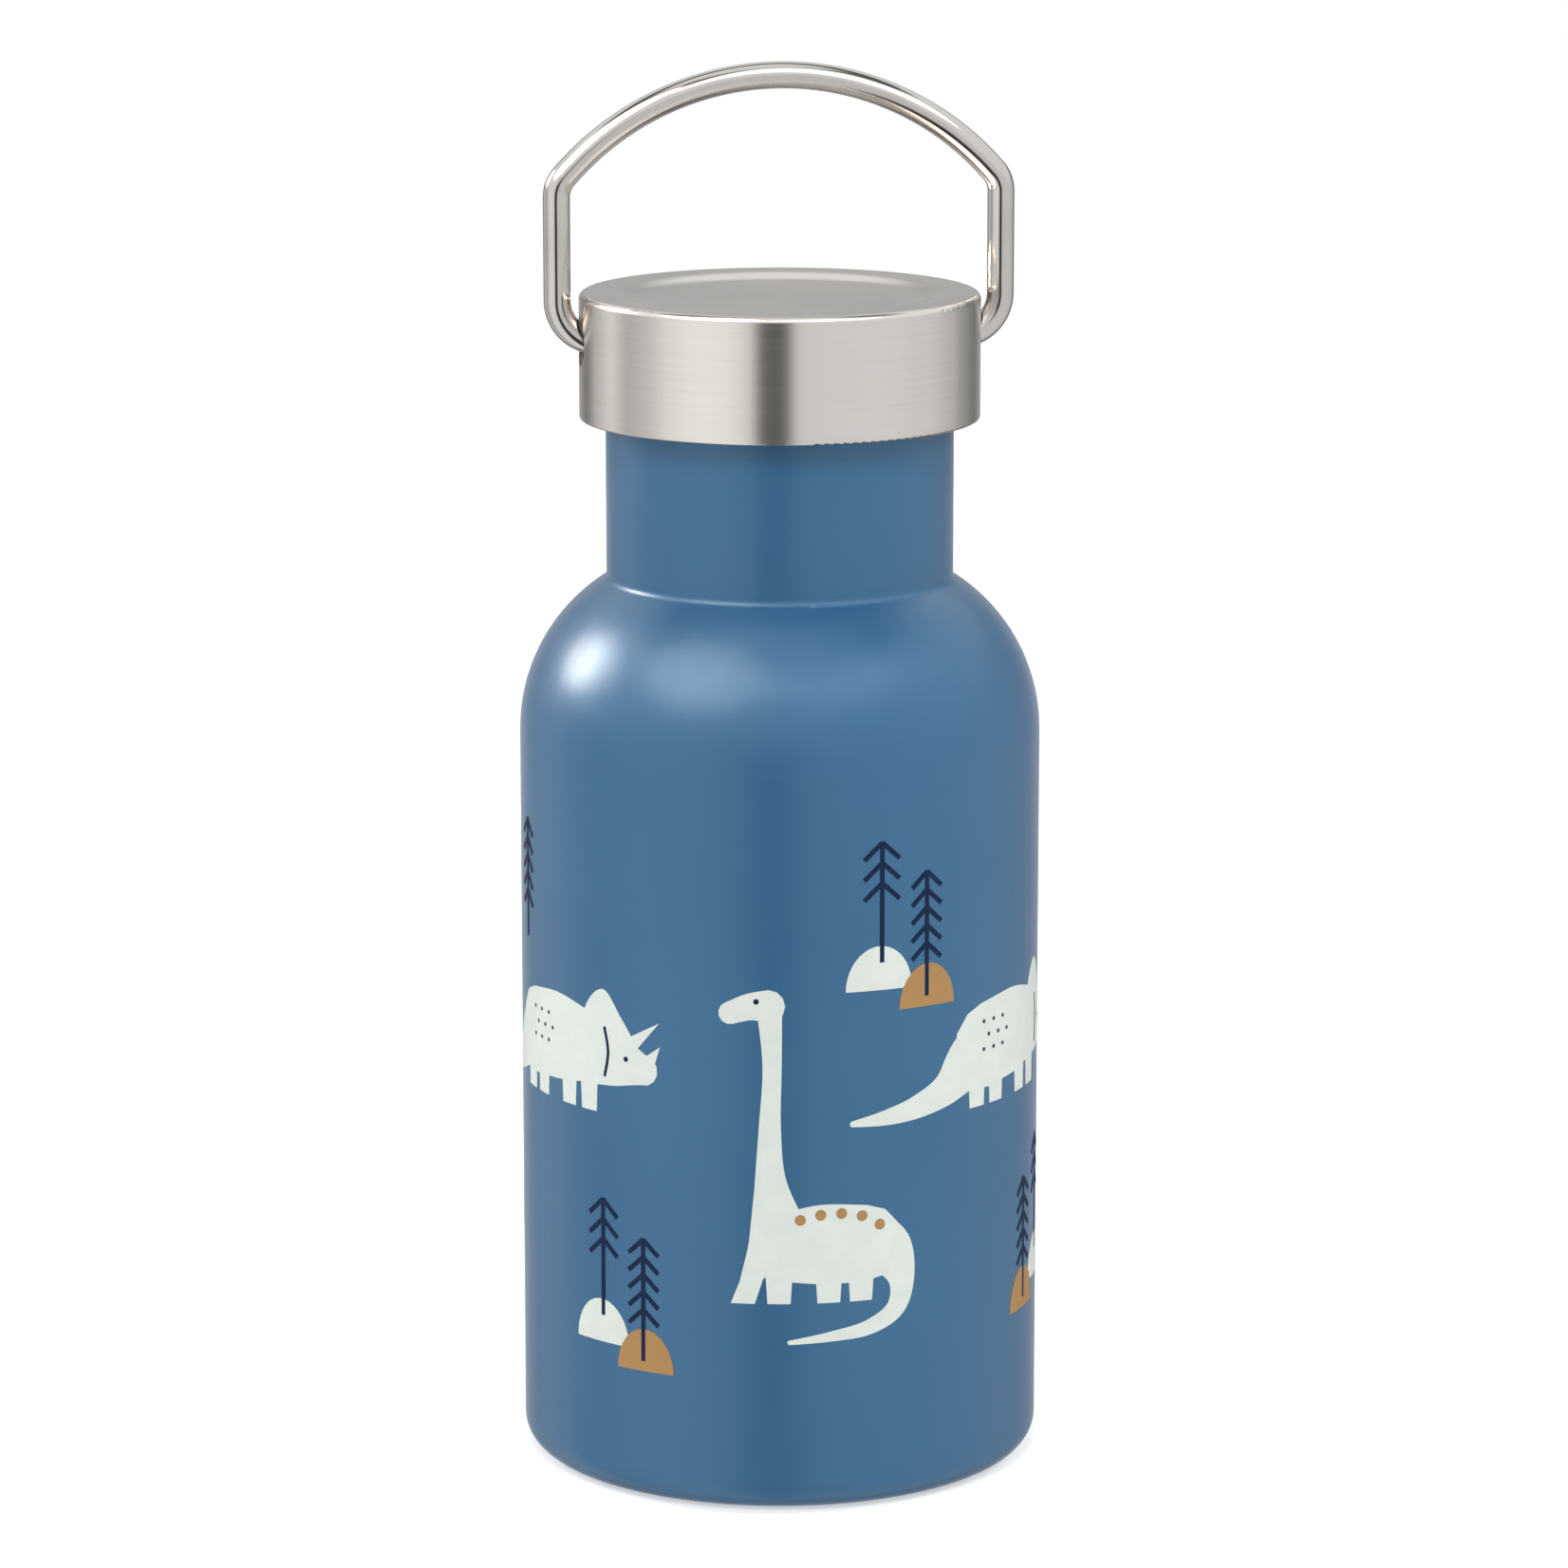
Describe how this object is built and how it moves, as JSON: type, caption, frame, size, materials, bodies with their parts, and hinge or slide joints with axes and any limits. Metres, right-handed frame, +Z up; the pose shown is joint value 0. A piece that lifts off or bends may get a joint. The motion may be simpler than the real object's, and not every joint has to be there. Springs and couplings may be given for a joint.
{
  "type": "kids water bottle",
  "caption": "Double-wall steel water bottle for children with a rounded shoulder, a screw lid that lifts off and a bail handle that swings over the lid.",
  "frame": {"origin": "centre of the ring that the bottle stands on, on the bottle's axis", "axes": "+Z up along the bottle's axis; X along the bail's pivot axis"},
  "size_m": [0.07, 0.07, 0.1891],
  "materials": {
    "coated_shell": "satin powder coat, printed with small animals and trees",
    "liner_steel": "electropolished",
    "base_steel": "brushed",
    "lid_steel": "brushed round the lid",
    "bail_steel": "polished stainless steel",
    "seal_glass": "melted bead",
    "getter_metal": "sintered pellet",
    "foil": "bright foil",
    "core_plastic": "moulded polypropylene",
    "foam": "closed-cell foam",
    "gasket_silicone": "silicone",
    "bush_plastic": "moulded nylon",
    "print_light": "printed ink, off-white",
    "print_ochre": "printed ink, ochre",
    "print_navy": "printed ink, navy"
  },
  "bodies": {
    "bottle": {"outer_shell": "coated_shell", "base_cover": "base_steel", "vacuum_base": "liner_steel", "vacuum_seal": "seal_glass", "getter_tray": "liner_steel", "getter": "getter_metal", "heat_foil": "foil", "inner_liner": "liner_steel", "liner_base": "liner_steel"},
    "seal": {"lid_gasket": "gasket_silicone"},
    "lid": {"lid_cap": "lid_steel", "lid_core": "core_plastic", "core_foam": "foam", "core_cover": "core_plastic", "bush_left": "bush_plastic", "bush_right": "bush_plastic"},
    "bail": {"bail_handle": "bail_steel"}
  },
  "joints": [
    {"name": "lid_lift", "type": "slide", "parent": "bottle", "child": "seal", "axis": [0, 0, 1], "range_m": [0, 0.0201]},
    {"name": "lid_turn", "type": "hinge", "parent": "seal", "child": "lid", "pos_m": [0, 0, 0.15235], "axis": [0, 0, 1], "range_deg": [0, 1800]},
    {"name": "bail_swing", "type": "hinge", "parent": "lid", "child": "bail", "pos_m": [0, 0, 0.15235], "axis": [1, 0, 0], "range_deg": [-130, 130]}
  ],
  "couplings": [
    {"joint": "lid_lift", "follows": "lid_turn", "m_per_rad": 0.00063662}
  ]
}
